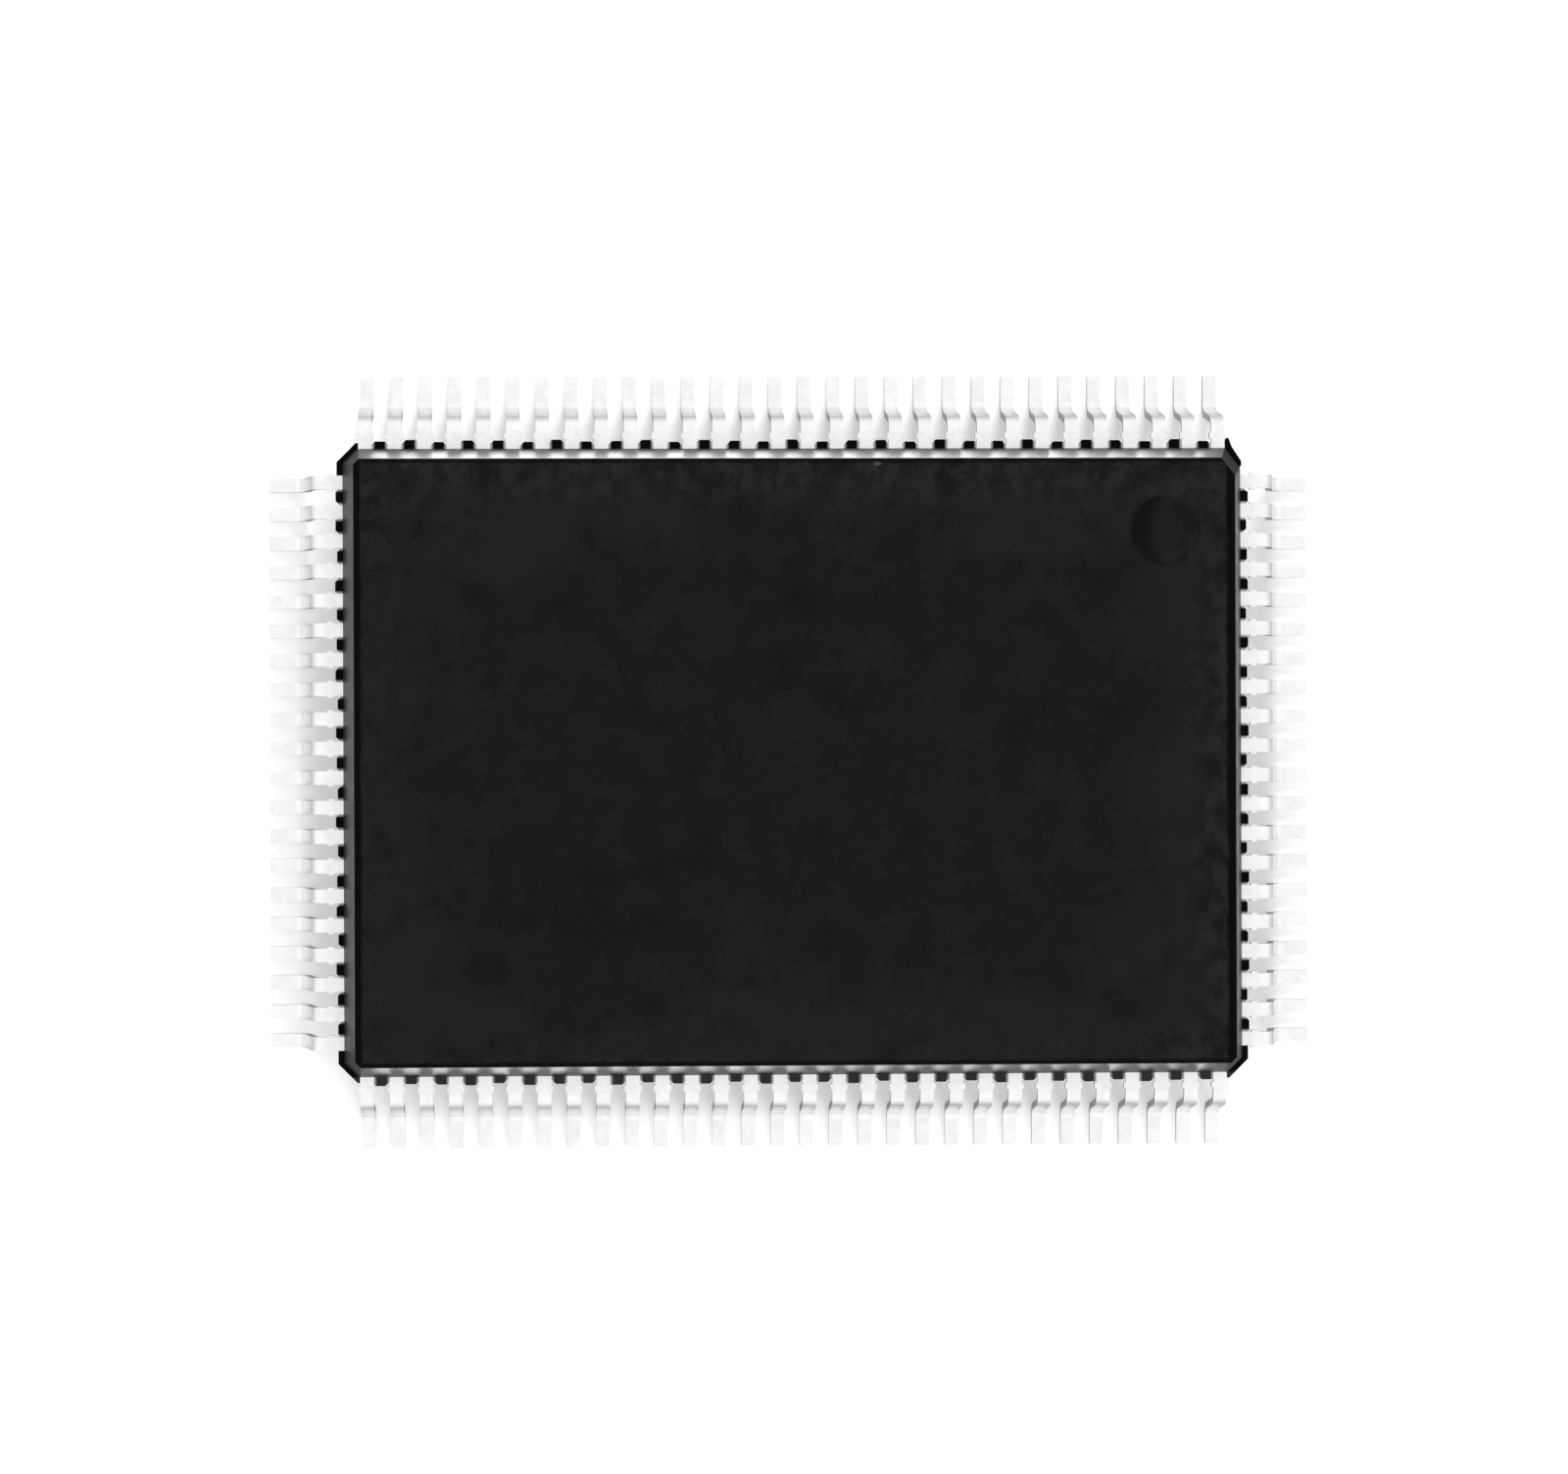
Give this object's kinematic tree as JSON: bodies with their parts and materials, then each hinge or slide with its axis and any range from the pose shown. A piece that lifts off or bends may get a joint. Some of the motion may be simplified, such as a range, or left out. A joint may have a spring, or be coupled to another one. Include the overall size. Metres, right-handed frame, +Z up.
{
  "type": "quad flat pack chip",
  "caption": "Rectangular surface-mount chip package: black moulded body, gull-wing tinned leads on all four sides, die, paddle and bond wires inside.",
  "frame": {"origin": "centre of the seating plane, level with the undersides of the lead feet", "axes": "+X along the long side of the body, +Y along the short side, +Z up out of the top face. Lead 1 is at the +X +Y corner, beside the index dimple."},
  "size_m": [0.0232, 0.0172, 0.003],
  "materials": {
    "moulding_compound": "black epoxy moulding compound, fine spark-eroded matte",
    "lead_frame_alloy": "bare stamped copper alloy",
    "silver_epoxy": "cured silver-filled paste",
    "silicon": "polished passivated silicon",
    "tinned_lead": "matte tin plate over copper alloy",
    "gold_wire": "drawn gold"
  },
  "bodies": {
    "root": {"moulded_body": "moulding_compound", "die_paddle": "lead_frame_alloy", "die_attach": "silver_epoxy", "silicon_die": "silicon", "leads_1_to_10": "tinned_lead", "leads_11_to_20": "tinned_lead", "leads_21_to_30": "tinned_lead", "leads_31_to_40": "tinned_lead", "leads_41_to_50": "tinned_lead", "leads_51_to_60": "tinned_lead", "leads_61_to_70": "tinned_lead", "leads_71_to_80": "tinned_lead", "leads_81_to_90": "tinned_lead", "leads_91_to_100": "tinned_lead", "bond_wires_1_to_10": "gold_wire", "bond_wires_11_to_20": "gold_wire", "bond_wires_21_to_30": "gold_wire", "bond_wires_31_to_40": "gold_wire", "bond_wires_41_to_50": "gold_wire", "bond_wires_51_to_60": "gold_wire", "bond_wires_61_to_70": "gold_wire", "bond_wires_71_to_80": "gold_wire", "bond_wires_81_to_90": "gold_wire", "bond_wires_91_to_100": "gold_wire"}
  },
  "joints": []
}
